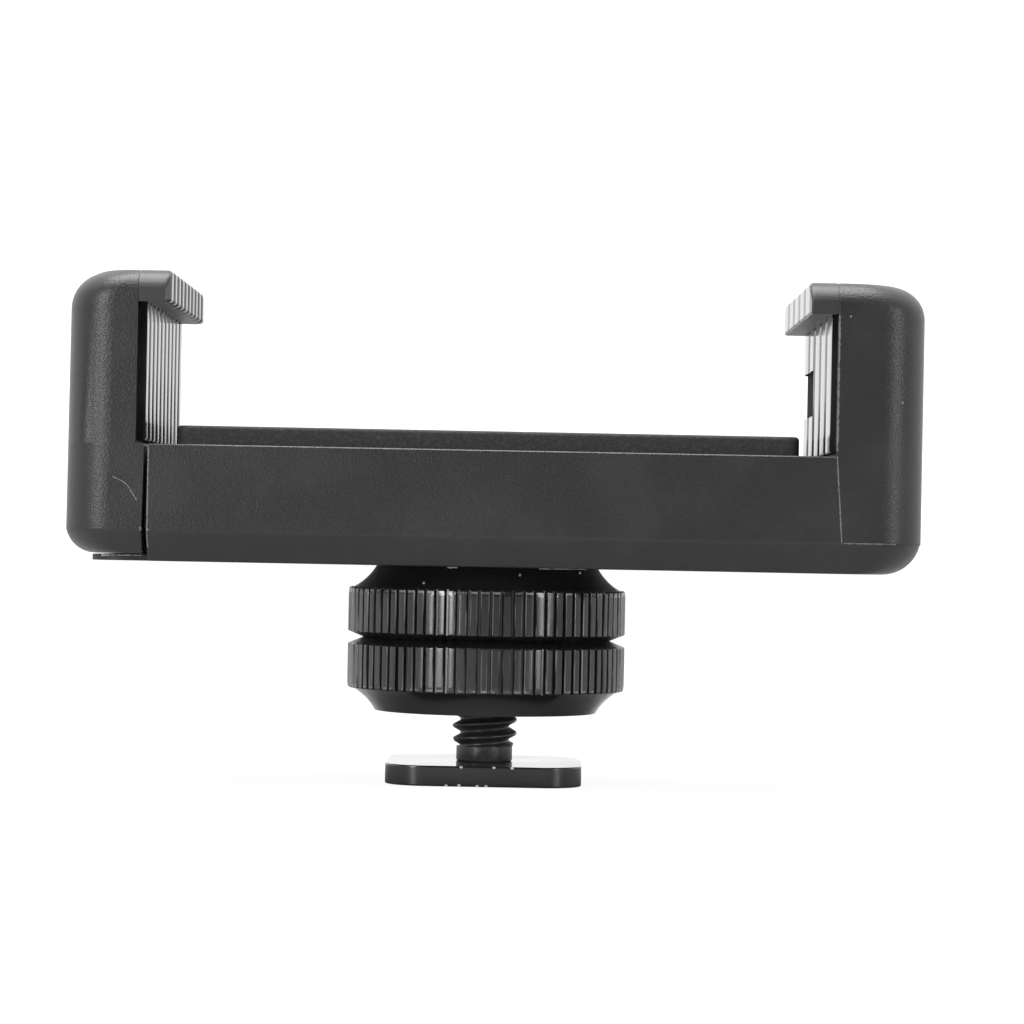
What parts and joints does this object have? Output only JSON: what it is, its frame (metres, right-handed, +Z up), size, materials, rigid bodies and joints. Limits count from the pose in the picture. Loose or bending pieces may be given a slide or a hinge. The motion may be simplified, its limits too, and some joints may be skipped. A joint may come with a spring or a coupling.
{
  "type": "phone mount",
  "caption": "Sprung phone clamp with two lipped jaws and rubber grips, on a hot-shoe adapter with a threaded stud and knurled thumb nuts.",
  "frame": {"origin": "middle of the shoe foot's underside, on the stud's axis", "axes": "+X runs to the fixed jaw, +Y away from the viewer's side, +Z up along the stud"},
  "size_m": [0.078, 0.032, 0.0467],
  "materials": {
    "moulded_plastic": "fine matte texture, black",
    "inner_plastic": "plain, black",
    "grip_rubber": "matte, dark grey",
    "strip_rubber": "matte, black",
    "black_anodised": "black anodised, turned and knurled",
    "bright_steel": "zinc plated",
    "plain_brass": "machined"
  },
  "bodies": {
    "adapter": {"shoe_foot": "black_anodised", "stud": "black_anodised"},
    "lower_nut": {"lower_thumb_nut": "black_anodised"},
    "upper_nut": {"upper_thumb_nut": "black_anodised"},
    "clamp": {"housing": "moulded_plastic", "base_plate": "inner_plastic", "base_screws": "bright_steel", "tripod_nut": "plain_brass", "rest_strip": "strip_rubber", "fixed_jaw": "moulded_plastic", "fixed_jaw_screws": "bright_steel", "fixed_grip": "grip_rubber", "anchor_pins": "bright_steel", "spring_front": "bright_steel", "spring_rear": "bright_steel"},
    "sliding_jaw": {"moving_jaw": "moulded_plastic", "tongue": "inner_plastic", "tongue_screws": "bright_steel", "tongue_pins": "bright_steel", "moving_grip": "grip_rubber"}
  },
  "joints": [
    {"name": "jaw_slide", "type": "slide", "parent": "clamp", "child": "sliding_jaw", "axis": [-1, 0, 0], "range_m": [0, 0.026], "stiffness_N_per_m": 300, "springref_m": -0.028, "deforming": ["spring_front", "spring_rear"]},
    {"name": "clamp_turn", "type": "hinge", "parent": "adapter", "child": "clamp", "pos_m": [0, 0, 0.0203], "axis": [0, 0, 1], "continuous": true},
    {"name": "upper_nut_turn", "type": "hinge", "parent": "adapter", "child": "upper_nut", "pos_m": [0, 0, 0.0169], "axis": [0, 0, 1], "continuous": true},
    {"name": "lower_nut_turn", "type": "hinge", "parent": "adapter", "child": "lower_nut", "pos_m": [0, 0, 0.01], "axis": [0, 0, 1], "continuous": true}
  ]
}
